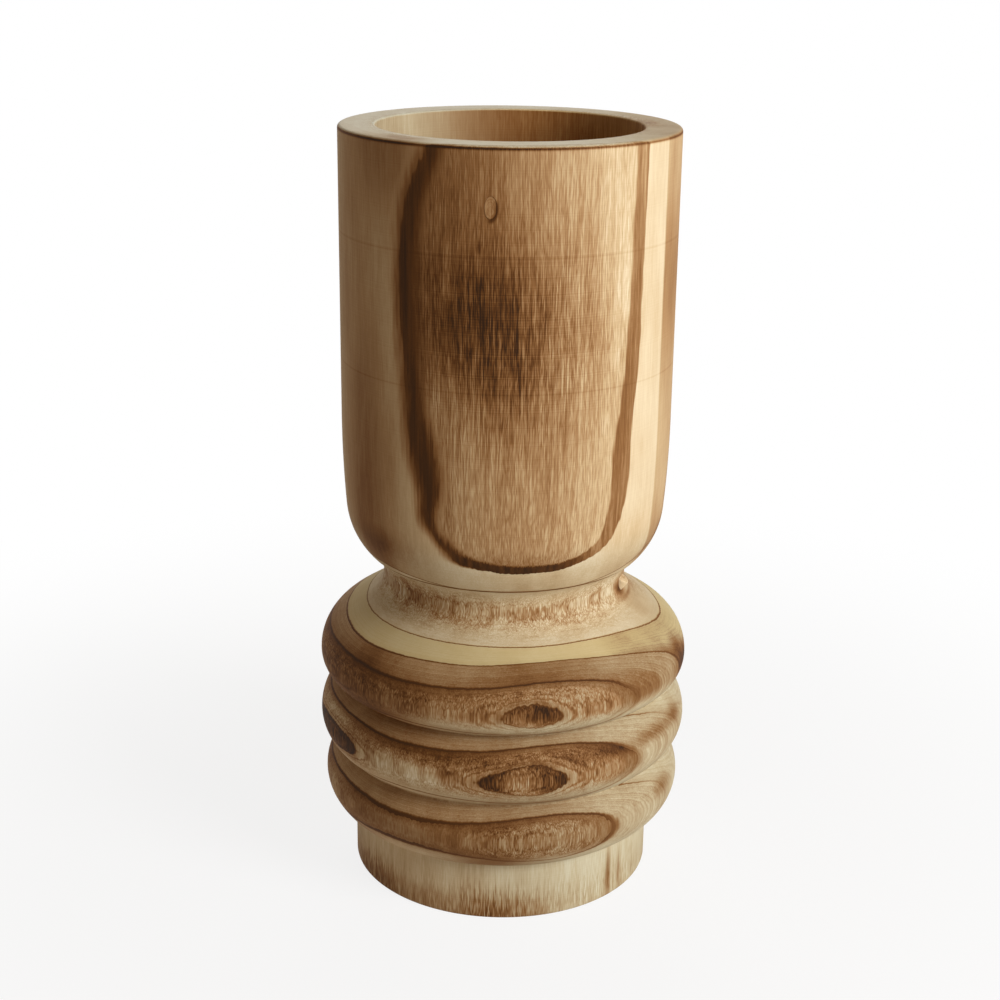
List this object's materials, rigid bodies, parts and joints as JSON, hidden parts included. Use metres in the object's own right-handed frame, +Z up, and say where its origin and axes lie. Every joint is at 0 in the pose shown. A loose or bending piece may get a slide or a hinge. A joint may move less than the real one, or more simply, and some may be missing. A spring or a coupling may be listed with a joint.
{
  "type": "turned wooden vase",
  "caption": "Vase turned from one log, with a ribbed base, a coved neck and a deep straight-walled cup, for dried flowers.",
  "frame": {"origin": "centre of the foot, on the ground", "axes": "+Z up along the axis of turning, -Y towards the side that the picture shows"},
  "size_m": [0.1874, 0.1874, 0.38],
  "materials": {
    "log_wood": "sanded and waxed light wood, satin, with coarse vessel lines along the log and dark ring lines",
    "plug_wood": "plain sanded light wood, matt",
    "knot_wood": "dense brown branch wood, satin"
  },
  "bodies": {
    "root": {"turned_body": "log_wood", "base_plug": "plug_wood", "cup_knot": "knot_wood", "neck_knot": "knot_wood"}
  },
  "joints": []
}
